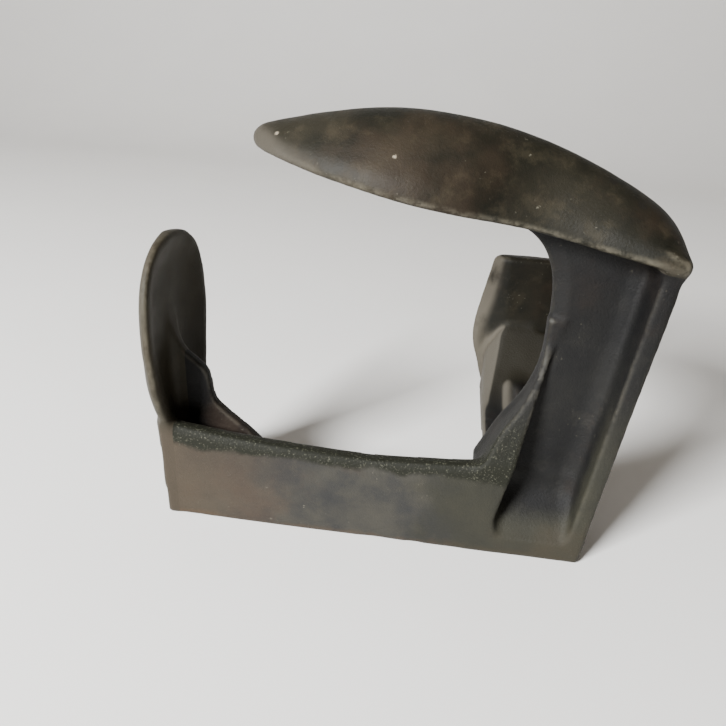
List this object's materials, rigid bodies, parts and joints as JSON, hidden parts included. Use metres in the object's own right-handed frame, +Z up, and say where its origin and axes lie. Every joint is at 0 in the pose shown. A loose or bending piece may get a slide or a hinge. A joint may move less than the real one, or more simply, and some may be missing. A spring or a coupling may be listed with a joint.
{
  "type": "cobbler's shoe last",
  "caption": "Free-standing cast iron cobbler's last: three ribbed legs meet at a hub, and each ends in a crowned face, for a large shoe, a small shoe or a heel",
  "frame": {"origin": "the middle of the square hub pad, on the floor, where the heel leg's underside rests", "axes": "+Z is up; +X runs along the large sole from toe to heel; +Y runs along the heel leg, away from the hub"},
  "size_m": [0.2682, 0.2412, 0.2271],
  "materials": {
    "cast_iron": "dark sand cast skin, dull, with an olive and brown patina",
    "worn_iron": "olive brown patina, rubbed smooth and paler along the working edges"
  },
  "bodies": {
    "root": {"large_sole": "worn_iron", "large_leg_flange": "cast_iron", "large_leg_web": "cast_iron", "corner_rib": "cast_iron", "hub_block": "cast_iron", "small_leg_plate": "cast_iron", "small_leg_web": "cast_iron", "small_sole": "worn_iron", "small_sole_rib": "cast_iron", "heel_leg_flange": "cast_iron", "heel_leg_web": "cast_iron", "heel_sole": "worn_iron"}
  },
  "joints": []
}
